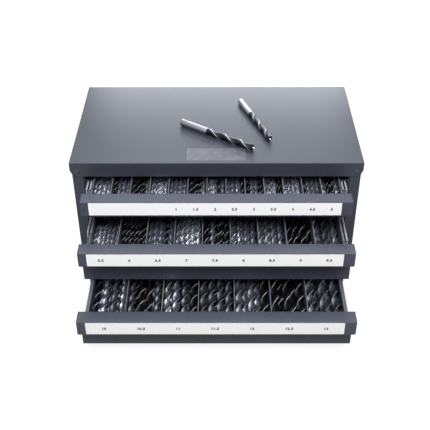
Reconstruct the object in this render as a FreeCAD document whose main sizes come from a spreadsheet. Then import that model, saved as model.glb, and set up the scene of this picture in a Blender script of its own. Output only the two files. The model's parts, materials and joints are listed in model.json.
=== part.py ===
"""Drill bit drawer case: a folded steel case with three drawers on telescopic ball slides.

Millimetres, +Z up, X across the front, -Y towards the user. The case stands on z = 0, and the
origin is the centre of the footprint of the case with its drawers drawn out as at rest.
"""
import FreeCAD, Part
import math
import os
import Sketcher

doc = FreeCAD.newDocument("drill_bit_drawer_case")
sheet = doc.addObject("Spreadsheet::Sheet", "Sizes")
nodes = []


# ---------------------------------------------------------------- lengths and the sheet
class Length:
    """A length: its number, and the formula over the sheet's cells that gives it."""

    def __init__(self, number, formula):
        self.number = number
        self.formula = formula

    def __add__(self, other):
        other = as_length(other)
        return Length(self.number + other.number, f"({self.formula} + {other.formula})")

    def __sub__(self, other):
        other = as_length(other)
        return Length(self.number - other.number, f"({self.formula} - {other.formula})")

    def __mul__(self, factor):
        factor = as_length(factor)
        return Length(self.number * factor.number, f"({self.formula} * {factor.formula})")

    def __truediv__(self, divisor):
        return Length(self.number / divisor, f"({self.formula} / {divisor})")

    def __neg__(self):
        return Length(-self.number, f"(-1 * {self.formula})")


def as_length(value):
    return value if isinstance(value, Length) else Length(float(value), f"({float(value)})")


def cell(alias, number):
    """Write one driving size in the next cell of the sheet and give it its name."""
    cell.row += 1
    sheet.set(f"A{cell.row}", alias)
    sheet.set(f"B{cell.row}", str(number))
    sheet.setAlias(f"B{cell.row}", alias)
    return Length(float(number), f"Sizes.{alias}")


cell.row = 0

# Lid: a shallow folded cover with a taller flange at the front
lid_sheet = cell("lid_sheet", 1.0)
lid_side_gap = cell("lid_side_gap", 1.7)
lid_back_gap = cell("lid_back_gap", 0.4)
fascia_height = cell("fascia_height", 23.0)
lip_height = cell("lip_height", 12.6)
fascia_corner = cell("fascia_corner", 4.5)

# Case body: two side panels, a floor and a back
case_width = cell("case_width", 414.6)
case_depth = cell("case_depth", 225.0)
case_sheet = cell("case_sheet", 1.0)
side_flange = cell("side_flange", 12.0)
jamb_width = cell("jamb_width", 16.3)
return_flange = cell("return_flange", 10.0)
sill_height = cell("sill_height", 8.0)
front_gap = cell("front_gap", 3.7)
foot_height = cell("foot_height", 4.5)
foot_radius = cell("foot_radius", 10.0)
foot_inset_x = cell("foot_inset_x", 28.0)
foot_inset_y = cell("foot_inset_y", 12.0)

# Drawers: tray, front with its folded pull, dividers, label
tray_length = cell("tray_length", 215.0)
tray_sheet = cell("tray_sheet", 1.0)
rim_drop = cell("rim_drop", 2.5)
front_sheet = cell("front_sheet", 1.0)
panel_side_gap = cell("panel_side_gap", 2.3)
pull_side_gap = cell("pull_side_gap", 1.25)
pull_depth = cell("pull_depth", 20.8)
pull_height = cell("pull_height", 23.6)
divider_sheet = cell("divider_sheet", 1.0)
divider_drop = cell("divider_drop", 0.5)
label_margin = cell("label_margin", 14.0)
label_height = cell("label_height", 20.8)
label_sheet = cell("label_sheet", 0.3)
label_drop = cell("label_drop", 1.5)
label_shift = cell("label_shift", -2.0)

# Telescopic slides: cabinet rail, intermediate rail, drawer rail, two pairs of ball rows
slide_space = cell("slide_space", 12.7)
slide_length = cell("slide_length", 200.0)
slide_height = cell("slide_height", 27.0)
slide_setback = cell("slide_setback", 3.5)
rail_sheet = cell("rail_sheet", 1.2)
mid_sheet = cell("mid_sheet", 1.0)
web_gap = cell("web_gap", 1.3)
ball_gap = cell("ball_gap", 2.0)
ball_play = cell("ball_play", 0.05)
ball_pitch = cell("ball_pitch", 12.0)
cage_sheet = cell("cage_sheet", 0.8)
cage_width = cell("cage_width", 4.0)
cage_end = cell("cage_end", 4.0)
cabinet_lip_gap = cell("cabinet_lip_gap", 1.5)
mid_lip_gap = cell("mid_lip_gap", 3.0)
drawer_flange = cell("drawer_flange", 8.0)
carrier_sheet = cell("carrier_sheet", 1.2)
carrier_gap = cell("carrier_gap", 0.1)
carrier_setback = cell("carrier_setback", 0.9)

# Rivets
rivet_radius = cell("rivet_radius", 2.0)
rivet_head_radius = cell("rivet_head_radius", 3.6)
rivet_head_height = cell("rivet_head_height", 1.1)
rivet_bore_radius = cell("rivet_bore_radius", 1.1)
rivet_tail_radius = cell("rivet_tail_radius", 2.6)
rivet_tail_height = cell("rivet_tail_height", 2.5)
rail_rivet_head = cell("rail_rivet_head", 0.9)
rail_rivet_tail = cell("rail_rivet_tail", 0.6)
hole_play = cell("hole_play", 0.1)
jamb_rivet_drop = cell("jamb_rivet_drop", 15.1)
jamb_rivet_inset = cell("jamb_rivet_inset", 7.0)
flange_rivet_inset = cell("flange_rivet_inset", 5.5)
back_rivet_pitch = cell("back_rivet_pitch", 80.0)
floor_rivet_pitch = cell("floor_rivet_pitch", 85.0)
rail_rivet_front = cell("rail_rivet_front", 28.0)
rail_rivet_pitch = cell("rail_rivet_pitch", 130.0)

# Drill bits
bit_side_play = cell("bit_side_play", 0.8)
bit_front_play = cell("bit_front_play", 2.0)
bit_play = cell("bit_play", 0.06)
fill_drop = cell("fill_drop", 6.0)
core_share = cell("core_share", 0.72)
shank_chamfer = cell("shank_chamfer", 0.6)
spur_width_share = cell("spur_width_share", 0.3)
spur_base_share = cell("spur_base_share", 0.4)

DRAWERS = {
    "top": {"front": cell("front_top_height", 41.6), "tray": cell("tray_top_height", 30.0),
            "drawn": cell("drawn_top", 37.8), "compartments": 13},
    "middle": {"front": cell("front_middle_height", 64.8), "tray": cell("tray_middle_height", 40.0),
               "drawn": cell("drawn_middle", 94.0), "compartments": 9},
    "bottom": {"front": cell("front_bottom_height", 62.4), "tray": cell("tray_bottom_height", 40.0),
               "drawn": cell("drawn_bottom", 156.2), "compartments": 7},
}
# Share of its drawer's travel that each intermediate rail has rolled
MID_SHARE = {
    "top": {"left": cell("share_top_left", 0.5), "right": cell("share_top_right", 0.5)},
    "middle": {"left": cell("share_middle_left", 0.5), "right": cell("share_middle_right", 0.7)},
    "bottom": {"left": cell("share_bottom_left", 0.44), "right": cell("share_bottom_right", 0.44)},
}
# Overall and fluted length of a jobber drill bit by its diameter
BIT_LENGTHS = {
    5.0: (86, 52), 5.5: (93, 57), 6.0: (93, 57), 6.5: (101, 63), 7.0: (109, 69), 7.5: (109, 69),
    8.0: (117, 75), 8.5: (117, 75), 9.0: (125, 81), 9.5: (125, 81), 10.0: (133, 87),
    10.5: (133, 87), 11.0: (142, 94), 11.5: (142, 94), 12.0: (151, 101), 12.5: (151, 101),
    13.0: (151, 101),
}
# Bits in a heap lie out of line by fewer millimetres than this
BIT_STAGGER = 5
# The bits that lie on the lid: where the butt end is, and the way the point lies about Z
LOOSE_BITS = {
    "large": {"diameter": 10.0, "x": -52.8, "behind_front": 105.5, "toward": -34.6},
    "small": {"diameter": 9.0, "x": 37.7, "behind_front": 171.6, "toward": -70.2},
}
SIDES = {"left": -1, "right": 1}
doc.recompute()

# ---------------------------------------------------------------- places worked out from the sizes
opening_half = case_width / 2 - jamb_width
carrier_out = opening_half - carrier_gap
carrier_in = carrier_out - carrier_sheet
tray_width = (carrier_in - slide_space) * 2
pull_half = opening_half - pull_side_gap
label_half = pull_half - label_margin
lid_width = case_width + (lid_sheet + lid_side_gap) * 2
lid_depth = lid_sheet * 2 + case_depth + lid_back_gap
reach = DRAWERS["bottom"]["drawn"] + pull_depth - lid_sheet + label_sheet
lid_front = (reach - lid_depth - rivet_head_height) / 2
case_front = lid_front + lid_sheet
case_back = case_front + case_depth
floor_top = foot_height + case_sheet
sill_top = foot_height + sill_height
fascia_bottom = sill_top + front_gap
for level in ("bottom", "middle", "top"):
    drawer = DRAWERS[level]
    drawer["base"] = fascia_bottom
    drawer["crest"] = drawer["base"] + drawer["front"]
    drawer["rim"] = drawer["crest"] - rim_drop
    drawer["floor"] = drawer["rim"] - drawer["tray"]
    drawer["slide_z"] = drawer["floor"] + slide_height / 2
    drawer["panel_y"] = case_front - drawer["drawn"]
    drawer["tray_y"] = drawer["panel_y"] + front_sheet
    drawer["pitch"] = (tray_width - tray_sheet) / drawer["compartments"]
    fascia_bottom = drawer["crest"] + front_gap
lid_top = fascia_bottom + fascia_height
lid_under = lid_top - lid_sheet
wall_in = case_width / 2 - case_sheet
slide_front = case_front + slide_setback
mid_half = slide_height / 2 - rail_sheet - ball_gap
drawer_half = mid_half - mid_sheet - ball_gap


# ---------------------------------------------------------------- building blocks
def bind(item, **formulas):
    for name, length in formulas.items():
        item.setExpression(name.replace("__", "."), as_length(length).formula)
    return item


def place(item, x, y, z):
    return bind(item, Placement__Base__x=x, Placement__Base__y=y, Placement__Base__z=z)


def box(name, x_range, y_range, z_range):
    """A box between three pairs of planes."""
    item = doc.addObject("Part::Box", name)
    bind(item, Length=x_range[1] - x_range[0], Width=y_range[1] - y_range[0],
         Height=z_range[1] - z_range[0])
    return place(item, x_range[0], y_range[0], z_range[0])


def across(side, inner, outer):
    """The x range from inner to outer, counted outwards from the middle on one side."""
    return (-outer, -inner) if side == "left" else (inner, outer)


# A cutter that makes a hole is this many times as long as its wall is thick
THROUGH = 2
TURNS = {
    "+X": FreeCAD.Rotation(FreeCAD.Vector(0, 1, 0), 90),
    "-X": FreeCAD.Rotation(FreeCAD.Vector(0, 1, 0), -90),
    "+Y": FreeCAD.Rotation(FreeCAD.Vector(1, 0, 0), -90),
    "-Y": FreeCAD.Rotation(FreeCAD.Vector(1, 0, 0), 90),
    "+Z": FreeCAD.Rotation(),
    "-Z": FreeCAD.Rotation(FreeCAD.Vector(1, 0, 0), 180),
}


def drill(name, direction, x, y, z, radius, length):
    """A cylinder centred on a point, to cut a hole through the wall there."""
    item = doc.addObject("Part::Cylinder", name)
    item.Placement = FreeCAD.Placement(FreeCAD.Vector(), TURNS[direction])
    bind(item, Radius=radius, Height=length)
    start = {axis: as_length(value) for axis, value in zip("XYZ", (x, y, z))}
    step = length / 2 if direction[0] == "+" else -(length / 2)
    start[direction[1]] = start[direction[1]] - step
    return place(item, start["X"], start["Y"], start["Z"])


def fuse(name, items):
    item = doc.addObject("Part::MultiFuse", name)
    item.Shapes = items
    item.Refine = True
    return item


def cut(name, base, tools):
    item = doc.addObject("Part::Cut", name)
    item.Base = base
    item.Tool = tools[0] if len(tools) == 1 else group(name + "_tools", tools)
    return item


def group(name, items):
    item = doc.addObject("Part::Compound", name)
    item.Links = items
    return item


def node(item, name):
    """Name an object as one of the pieces that are written out."""
    item.Label = name
    nodes.append(item)
    return item


def outline(sketch, points):
    """A closed outline in a sketch, each corner held at its own distances from the origin."""
    spots = [FreeCAD.Vector(as_length(x).number, as_length(y).number, 0) for x, y in points]
    for index, spot in enumerate(spots):
        sketch.addGeometry(Part.LineSegment(spot, spots[(index + 1) % len(spots)]), False)
    for index in range(len(spots)):
        following = (index + 1) % len(spots)
        sketch.addConstraint(Sketcher.Constraint("Coincident", index, 2, following, 1))
    for index, (x, y) in enumerate(points):
        for kind, length in (("DistanceX", as_length(x)), ("DistanceY", as_length(y))):
            held = sketch.addConstraint(
                Sketcher.Constraint(kind, -1, 1, index, 1, length.number))
            sketch.setExpression(f"Constraints[{held}]", length.formula)


def body_with_sketch(name, plane, points):
    body = doc.addObject("PartDesign::Body", name)
    sketch = body.newObject("Sketcher::SketchObject", name + "_sketch")
    origin_plane = [feature for feature in body.Origin.OriginFeatures if feature.Role == plane][0]
    sketch.AttachmentSupport = [(origin_plane, "")]
    sketch.MapMode = "FlatFace"
    outline(sketch, points)
    return body, sketch


def turned(name, points):
    """A body turned about Z from an outline of (radius, height) corners."""
    body, sketch = body_with_sketch(name, "XZ_Plane", points)
    revolution = body.newObject("PartDesign::Revolution", name + "_turn")
    revolution.Profile = sketch
    revolution.ReferenceAxis = (sketch, ["V_Axis"])
    revolution.Angle = 360
    return body


def copies(name, pattern, spots):
    """One object of separate copies of a pattern, each at its spot and turned to its direction."""
    shapes = []
    for direction, x, y, z in spots:
        spot = FreeCAD.Vector(*(as_length(value).number for value in (x, y, z)))
        shape = pattern.Shape.copy()
        shape.Placement = FreeCAD.Placement(spot, TURNS[direction]).multiply(shape.Placement)
        shapes.append(shape)
    item = doc.addObject("Part::Feature", name)
    item.Shape = Part.makeCompound(shapes)
    return item


# ---------------------------------------------------------------- lid
jamb_rivet_x = case_width / 2 - jamb_rivet_inset
jamb_rivet_z = lid_top - jamb_rivet_drop
back_rivet_z = lid_top - lip_height / 2 - lid_sheet / 2
flange_rivet_x = case_width / 2 - flange_rivet_inset
hole_radius = rivet_radius + hole_play
lid_back = lid_front + lid_depth


def make_lid():
    half = lid_width / 2
    fascia_body, fascia_sketch = body_with_sketch("fascia", "XZ_Plane", [
        (-half, lid_under), (half, lid_under), (half, lid_top - lip_height),
        (half - fascia_corner, lid_top - fascia_height),
        (-half + fascia_corner, lid_top - fascia_height), (-half, lid_top - lip_height)])
    pad = fascia_body.newObject("PartDesign::Pad", "fascia_pad")
    pad.Profile = fascia_sketch
    pad.Reversed = True
    bind(pad, Length=lid_sheet)
    place(fascia_body, 0, lid_front, 0)
    plates = [
        fascia_body,
        box("lid_plate", (-half, half), (lid_front, lid_back), (lid_under, lid_top)),
        box("lid_back_lip", (-half, half), (lid_back - lid_sheet, lid_back),
            (lid_top - lip_height, lid_under)),
    ]
    holes = []
    for side, sign in SIDES.items():
        plates.append(box("lid_lip_" + side, across(side, half - lid_sheet, half),
                          (lid_front, lid_back), (lid_top - lip_height, lid_under)))
        holes.append(drill("fascia_hole_" + side, "+Y", jamb_rivet_x * sign,
                           lid_front + lid_sheet / 2, jamb_rivet_z, hole_radius, lid_sheet * THROUGH))
        holes.append(drill("lid_back_hole_" + side, "+Y", flange_rivet_x * sign,
                           lid_back - lid_sheet / 2, back_rivet_z, hole_radius, lid_sheet * THROUGH))
    node(cut("lid", fuse("lid_folds", plates), holes), "lid_cover")


# ---------------------------------------------------------------- case body
back_y = case_back - case_sheet
back_rows = [floor_top + (lid_under - floor_top) / 2 + back_rivet_pitch * step for step in (-1, 0, 1)]
floor_rows = [case_front + case_depth / 2 + floor_rivet_pitch * step for step in (-1, 0, 1)]


def make_side(side):
    sign = SIDES[side]
    outer = case_width / 2
    bottom = foot_height - case_sheet
    full_y = (case_front, case_back)
    inside_y = (case_front + case_sheet, case_back - case_sheet)
    flange_x = across(side, outer - side_flange, wall_in)
    folds = [
        box("wall_" + side, across(side, wall_in, outer), full_y, (bottom, lid_under)),
        box("jamb_" + side, across(side, opening_half, wall_in),
            (case_front, case_front + case_sheet), (bottom, lid_under)),
        box("jamb_return_" + side, across(side, opening_half, opening_half + case_sheet),
            (case_front, case_front + return_flange), (sill_top, lid_under)),
        box("rear_flange_" + side, flange_x, (back_y, case_back), (bottom, lid_under)),
        box("top_flange_" + side, flange_x, inside_y, (lid_under - case_sheet, lid_under)),
        box("bottom_flange_" + side, flange_x, inside_y, (bottom, foot_height)),
    ]
    rivet_x = flange_rivet_x * sign
    holes = [drill("jamb_hole_" + side, "+Y", jamb_rivet_x * sign, case_front + case_sheet / 2,
                   jamb_rivet_z, hole_radius, case_sheet * THROUGH),
             drill("rear_lid_hole_" + side, "+Y", rivet_x, case_back - case_sheet / 2,
                   back_rivet_z, hole_radius, case_sheet * THROUGH)]
    for index, z in enumerate(back_rows):
        holes.append(drill(f"rear_hole_{side}_{index}", "+Y", rivet_x, back_y + case_sheet / 2, z,
                           hole_radius, case_sheet * THROUGH))
    for index, y in enumerate(floor_rows):
        holes.append(drill(f"bottom_hole_{side}_{index}", "+Z", rivet_x, y,
                           foot_height - case_sheet / 2, hole_radius, case_sheet * THROUGH))
    node(cut("side_" + side, fuse("side_folds_" + side, folds), holes), "side_panel_" + side)


def make_back():
    plate = box("back_plate", (-wall_in, wall_in), (back_y - case_sheet, back_y),
                (floor_top, lid_under - case_sheet))
    holes = []
    for side, sign in SIDES.items():
        for index, z in enumerate(back_rows + [back_rivet_z]):
            holes.append(drill(f"back_hole_{side}_{index}", "+Y", flange_rivet_x * sign,
                               back_y - case_sheet / 2, z, hole_radius, case_sheet * THROUGH))
    node(cut("back", plate, holes), "back_panel")


def make_floor():
    sill_front = case_front + case_sheet
    plates = [box("floor_plate", (-wall_in, wall_in), (sill_front, back_y), (foot_height, floor_top)),
              box("sill", (-wall_in, wall_in), (sill_front, sill_front + case_sheet),
                  (foot_height, sill_top))]
    holes = [drill(f"floor_hole_{side}_{index}", "+Z", flange_rivet_x * sign, y,
                   foot_height + case_sheet / 2, hole_radius, case_sheet * THROUGH)
             for side, sign in SIDES.items() for index, y in enumerate(floor_rows)]
    node(cut("floor", fuse("floor_folds", plates), holes), "floor_panel")


def make_feet():
    """Four stuck-on rubber feet under the floor."""
    foot = turned("foot", [(0, 0), (foot_radius - foot_height / 4, 0), (foot_radius, foot_height),
                           (0, foot_height)])
    doc.recompute()
    corner_x = case_width / 2 - foot_inset_x
    spots = [("+Z", corner_x * sign, y, 0) for sign in SIDES.values()
             for y in (case_front + foot_inset_y, case_back - foot_inset_y)]
    node(copies("feet", foot, spots), "rubber_feet")


# ---------------------------------------------------------------- telescopic slides
slide_y = (slide_front, slide_front + slide_length)
rivet_rows = [slide_front + rail_rivet_front, slide_front + rail_rivet_front + rail_rivet_pitch]
mid_out = slide_space - rail_sheet - web_gap
# Balls in each row: outer rows run in the cabinet rail, inner rows on the drawer rail
OUTER_BALLS = 4
INNER_BALLS = 5


def slide_x(side, near, far):
    """The x range between two distances from the tray's side, counted outwards."""
    return across(side, tray_width / 2 + near, tray_width / 2 + far)


def channel(name, side, web, lips, y_range, z, half, sheet_size):
    """A channel rail: its web between two distances from the tray, its flanges over the lips."""
    top = (z + half - sheet_size, z + half)
    bottom = (z - half, z - half + sheet_size)
    return fuse(name, [
        box(name + "_web", slide_x(side, *web), y_range, (z - half, z + half)),
        box(name + "_top", slide_x(side, *lips), y_range, top),
        box(name + "_bottom", slide_x(side, *lips), y_range, bottom)])


def make_carrier(side):
    """The inner side panel that the cabinet rails are riveted to."""
    front = case_front + case_sheet * 2 + carrier_setback
    back = back_y - case_sheet
    top = lid_under - case_sheet
    sign = SIDES[side]
    folds = [box("carrier_plate_" + side, across(side, carrier_in, carrier_out),
                 (front, back), (floor_top, top)),
             box("carrier_flange_" + side, across(side, carrier_in, wall_in),
                 (back - carrier_sheet, back), (floor_top, top))]
    holes = [drill(f"carrier_hole_{side}_{level}_{index}", "+X",
                   (carrier_in + carrier_sheet / 2) * sign, y, DRAWERS[level]["slide_z"],
                   hole_radius, carrier_sheet * THROUGH)
             for level in DRAWERS for index, y in enumerate(rivet_rows)]
    holes += [drill(f"carrier_rear_hole_{side}_{index}", "+Y", flange_rivet_x * sign,
                    back - carrier_sheet / 2, z, hole_radius, carrier_sheet * THROUGH)
              for index, z in enumerate(back_rows + [back_rivet_z])]
    node(cut("carrier_" + side, fuse("carrier_folds_" + side, folds), holes),
         "slide_carrier_" + side)


def make_cabinet_rails():
    rails = []
    for level, drawer in DRAWERS.items():
        for side, sign in SIDES.items():
            name = f"cabinet_rail_{level}_{side}"
            rail = channel(name + "_folds", side, (slide_space - rail_sheet, slide_space),
                           (cabinet_lip_gap, slide_space), slide_y, drawer["slide_z"],
                           slide_height / 2, rail_sheet)
            holes = [drill(f"{name}_hole_{index}", "+X", (carrier_in - rail_sheet / 2) * sign, y,
                           drawer["slide_z"], hole_radius, rail_sheet * THROUGH)
                     for index, y in enumerate(rivet_rows)]
            rails.append(cut(name, rail, holes))
    node(group("cabinet_rail_set", rails), "cabinet_rails")


def make_mid_rail(level, side):
    """The intermediate rail and the four caged ball rows that it runs on."""
    drawer = DRAWERS[level]
    rolled = drawer["drawn"] * MID_SHARE[level][side]
    y_range = (slide_y[0] - rolled, slide_y[1] - rolled)
    name = f"mid_{level}_{side}"
    rail = channel(name, side, (mid_out - mid_sheet, mid_out), (mid_lip_gap, mid_out), y_range,
                   drawer["slide_z"], mid_half, mid_sheet)
    node(rail, f"intermediate_rail_{level}_{side}")

    outer_length = ball_pitch * (OUTER_BALLS - 1)
    outer_row = {"at": (mid_lip_gap + mid_out) / 2, "z": mid_half + ball_gap / 2,
                 "balls": OUTER_BALLS, "start": y_range[1] - ball_pitch / 2 - outer_length}
    inner_row = {"at": (mid_lip_gap + drawer_flange) / 2, "z": drawer_half + ball_gap / 2,
                 "balls": INNER_BALLS, "start": y_range[0] + ball_pitch / 2}
    parts = []
    for row_name, row in (("outer", outer_row), ("inner", inner_row)):
        for edge, up in (("top", 1), ("bottom", -1)):
            label = f"{name}_{row_name}_{edge}"
            z = drawer["slide_z"] + row["z"] * up
            cage_y = (row["start"] - cage_end,
                      row["start"] + ball_pitch * (row["balls"] - 1) + cage_end)
            strip = box(label + "_strip",
                        slide_x(side, row["at"] - cage_width / 2, row["at"] + cage_width / 2),
                        cage_y, (z - cage_sheet / 2, z + cage_sheet / 2))
            x = (tray_width / 2 + row["at"]) * SIDES[side]
            pockets = []
            for index in range(row["balls"]):
                y = row["start"] + ball_pitch * index
                pockets.append(drill(f"{label}_pocket_{index}", "+Z", x, y, z, ball_gap / 2,
                                     cage_sheet * THROUGH))
                ball = doc.addObject("Part::Sphere", f"{label}_ball_{index}")
                bind(ball, Radius=ball_gap / 2 - ball_play)
                parts.append(place(ball, x, y, z))
            parts.append(cut(label + "_cage", strip, pockets))
    node(group(name + "_balls", parts), f"ball_rows_{level}_{side}")


def make_rail_rivet(name, grip, tail_height, tail_radius):
    return turned(name, [
        (0, -grip - tail_height), (tail_radius, -grip - tail_height), (tail_radius, -grip),
        (rivet_radius, -grip), (rivet_radius, 0), (rivet_head_radius - rail_rivet_head / 2, 0),
        (rivet_head_radius - rail_rivet_head, rail_rivet_head), (0, rail_rivet_head)])


def make_cabinet_rail_rivets():
    pattern = make_rail_rivet("cabinet_rail_rivet", rail_sheet + carrier_sheet,
                              rivet_tail_height / 2, rivet_tail_radius)
    doc.recompute()
    inner = carrier_in - rail_sheet
    spots = [("-X" if side == "right" else "+X", inner * sign, y, drawer["slide_z"])
             for drawer in DRAWERS.values() for side, sign in SIDES.items() for y in rivet_rows]
    node(copies("cabinet_rail_rivet_set", pattern, spots), "cabinet_rail_rivets")


def make_blind_rivet(name, grip):
    """An open blind rivet that holds sheets of one total thickness, its head above z = 0."""
    return turned(name, [
        (rivet_bore_radius, -grip - rivet_tail_height), (rivet_tail_radius, -grip - rivet_tail_height),
        (rivet_tail_radius, -grip), (rivet_radius, -grip), (rivet_radius, 0), (rivet_head_radius, 0),
        (rivet_head_radius - rivet_head_height / 2, rivet_head_height),
        (rivet_bore_radius, rivet_head_height)])


def make_blind_rivets():
    """Blind rivets through lid and jamb, lid and back, back and carrier, and side and floor."""
    back_stack = case_sheet * 2 + carrier_sheet
    jamb = make_blind_rivet("jamb_rivet", lid_sheet + case_sheet)
    lid_rear = make_blind_rivet("lid_rear_rivet", lid_sheet + lid_back_gap + back_stack)
    rear = make_blind_rivet("rear_rivet", back_stack)
    under = make_blind_rivet("floor_rivet", case_sheet * 2)
    doc.recompute()
    shapes = []
    for side, sign in SIDES.items():
        x = flange_rivet_x * sign
        shapes += [
            copies("jamb_rivet_" + side, jamb, [("-Y", jamb_rivet_x * sign, lid_front, jamb_rivet_z)]),
            copies("lid_rear_rivet_" + side, lid_rear, [("+Y", x, lid_back, back_rivet_z)]),
            copies("rear_rivets_" + side, rear, [("+Y", x, case_back, z) for z in back_rows]),
            copies("floor_rivets_" + side, under,
                   [("-Z", x, y, foot_height - case_sheet) for y in floor_rows])]
    node(group("blind_rivet_set", shapes), "blind_rivets")


# ---------------------------------------------------------------- drawers
def make_tray(level):
    drawer = DRAWERS[level]
    half = tray_width / 2
    y_range = (drawer["tray_y"], drawer["tray_y"] + tray_length)
    z_range = (drawer["floor"], drawer["rim"])
    folds = [box("tray_floor_" + level, (-half, half), y_range,
                 (drawer["floor"], drawer["floor"] + tray_sheet)),
             box("tray_back_" + level, (-half, half), (y_range[1] - tray_sheet, y_range[1]), z_range)]
    holes = []
    for side, sign in SIDES.items():
        folds.append(box(f"tray_wall_{level}_{side}", across(side, half - tray_sheet, half),
                         y_range, z_range))
        holes += [drill(f"tray_hole_{level}_{side}_{index}", "+X", (half - tray_sheet / 2) * sign,
                        y - drawer["drawn"], drawer["slide_z"], hole_radius, tray_sheet * THROUGH)
                  for index, y in enumerate(rivet_rows)]
    node(cut("tray_" + level, fuse("tray_folds_" + level, folds), holes), "tray_" + level)


def make_front(level):
    """The drawer front: one sheet, folded forward and down again at the top into the pull."""
    drawer = DRAWERS[level]
    panel_half = opening_half - panel_side_gap
    pull_y = drawer["panel_y"] - pull_depth
    folds = [
        box("panel_" + level, (-panel_half, panel_half), (drawer["panel_y"], drawer["tray_y"]),
            (drawer["base"], drawer["crest"])),
        box("pull_top_" + level, (-pull_half, pull_half), (pull_y, drawer["panel_y"]),
            (drawer["crest"] - front_sheet, drawer["crest"])),
        box("pull_face_" + level, (-pull_half, pull_half), (pull_y, pull_y + front_sheet),
            (drawer["crest"] - pull_height, drawer["crest"]))]
    node(fuse("front_" + level, folds), "drawer_front_" + level)


def make_label(level):
    drawer = DRAWERS[level]
    face = drawer["panel_y"] - pull_depth
    top = drawer["crest"] - label_drop
    label = box("label_card_" + level, (label_shift - label_half, label_shift + label_half),
                (face - label_sheet, face), (top - label_height, top))
    node(label, "label_strip_" + level)


def divider_x(level, index):
    """The middle of a divider, or of a side wall for the first and the last index."""
    return (tray_sheet - tray_width) / 2 + DRAWERS[level]["pitch"] * index


def make_dividers(level):
    drawer = DRAWERS[level]
    plates = []
    for index in range(1, drawer["compartments"]):
        middle = divider_x(level, index)
        plates.append(box(f"divider_{level}_{index}",
                          (middle - divider_sheet / 2, middle + divider_sheet / 2),
                          (drawer["tray_y"], drawer["tray_y"] + tray_length - tray_sheet),
                          (drawer["floor"] + tray_sheet, drawer["rim"] - divider_drop)))
    node(group("divider_set_" + level, plates), "dividers_" + level)


def make_drawer_rails(level):
    drawer = DRAWERS[level]
    y_range = (slide_y[0] - drawer["drawn"], slide_y[1] - drawer["drawn"])
    rails = []
    spots = []
    for side, sign in SIDES.items():
        name = f"drawer_rail_{level}_{side}"
        rail = channel(name + "_folds", side, (as_length(0), rail_sheet),
                       (as_length(0), drawer_flange), y_range, drawer["slide_z"], drawer_half,
                       rail_sheet)
        holes = [drill(f"{name}_hole_{index}", "+X", (tray_width / 2 + rail_sheet / 2) * sign,
                       y - drawer["drawn"], drawer["slide_z"], hole_radius, rail_sheet * THROUGH)
                 for index, y in enumerate(rivet_rows)]
        rails.append(cut(name, rail, holes))
        outward = "+X" if side == "right" else "-X"
        spots += [(outward, (tray_width / 2 + rail_sheet) * sign, y - drawer["drawn"],
                   drawer["slide_z"]) for y in rivet_rows]
    node(group("drawer_rail_set_" + level, rails), "drawer_rails_" + level)
    pattern = make_rail_rivet("drawer_rail_rivet_" + level, rail_sheet + tray_sheet,
                              rail_rivet_tail, rivet_tail_radius)
    doc.recompute()
    node(copies("drawer_rail_rivet_set_" + level, pattern, spots), "drawer_rail_rivets_" + level)


# ---------------------------------------------------------------- drill bits
def size_word(diameter):
    return f"{diameter:.1f}".replace(".", "_")


def bit_lengths(diameter):
    """Overall and fluted length of the listed bit that is nearest in diameter."""
    return BIT_LENGTHS[min(BIT_LENGTHS, key=lambda listed: abs(listed - diameter))]


def make_bit(name, diameter):
    """A brad point drill bit on end: shank, the core of the fluted part, and its point at the top."""
    overall, fluted = bit_lengths(diameter)
    radius = as_length(diameter / 2)
    core = radius * core_share
    shoulder = as_length(overall - fluted)
    tip = as_length(overall) - radius
    bit = turned(name, [
        (0, 0), (radius - shank_chamfer, 0), (radius, shank_chamfer), (radius, shoulder - shank_chamfer),
        (core, shoulder), (core, tip), (core * spur_width_share, tip + radius * spur_base_share),
        (0, overall)])
    doc.recompute()
    return bit


def bit_spots(level, compartments, diameter):
    """Places for the bits of one size, points to the front, in rows that nest in each other.

    The rows fill a compartment nearly to its rim, and their number is odd, so that the top row
    is a full one.
    """
    drawer = DRAWERS[level]
    overall = bit_lengths(diameter)[0]
    radius = diameter / 2
    room = drawer["pitch"].number - divider_sheet.number - 2 * bit_side_play.number
    depth = (drawer["tray"] - tray_sheet - fill_drop).number
    count = max(2, 1 + int((room - diameter) / (diameter + bit_play.number)))
    spread = (room - diameter) / (count - 1)
    rise = math.sqrt((diameter + bit_play.number) ** 2 - (spread / 2) ** 2)
    rows = 1 + int((depth - diameter) / rise) // 2 * 2
    floor = drawer["floor"].number + tray_sheet.number + radius
    front = drawer["tray_y"].number + bit_front_play.number
    spots = []
    for compartment in compartments:
        middle = (divider_x(level, compartment).number + divider_x(level, compartment + 1).number) / 2
        for row in range(rows):
            in_row = count - row % 2
            for index in range(in_row):
                x = middle + (index - (in_row - 1) / 2) * spread
                stagger = (index * 3 + row * 2 + compartment) % BIT_STAGGER
                spots.append(("-Y", x, front + overall + stagger, floor + row * rise))
    return spots


def make_bits(level, diameters):
    """Fill a drawer: one size to a compartment, or one size throughout."""
    everywhere = len(diameters) == 1
    for index, diameter in enumerate(diameters):
        held = range(DRAWERS[level]["compartments"]) if everywhere else [index]
        word = size_word(diameter)
        bit = make_bit(f"bit_{level}_{word}", diameter)
        node(copies(f"bit_set_{level}_{word}", bit, bit_spots(level, held, diameter)),
             f"bits_{level}_{word}")


def make_loose_bit(name, lying):
    """A bit lying on the lid, from its butt towards an angle in degrees about Z."""
    diameter = lying["diameter"]
    bit = make_bit("loose_" + name, diameter)
    item = doc.addObject("Part::Feature", "loose_bit_shape_" + name)
    item.Shape = bit.Shape.copy()
    turn = FreeCAD.Rotation(FreeCAD.Vector(0, 0, 1), lying["toward"]).multiply(TURNS["+X"])
    spot = FreeCAD.Vector(lying["x"], lid_front.number + lying["behind_front"],
                          lid_top.number + diameter / 2)
    item.Placement = FreeCAD.Placement(spot, turn)
    node(item, "loose_bit_" + name)


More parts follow.
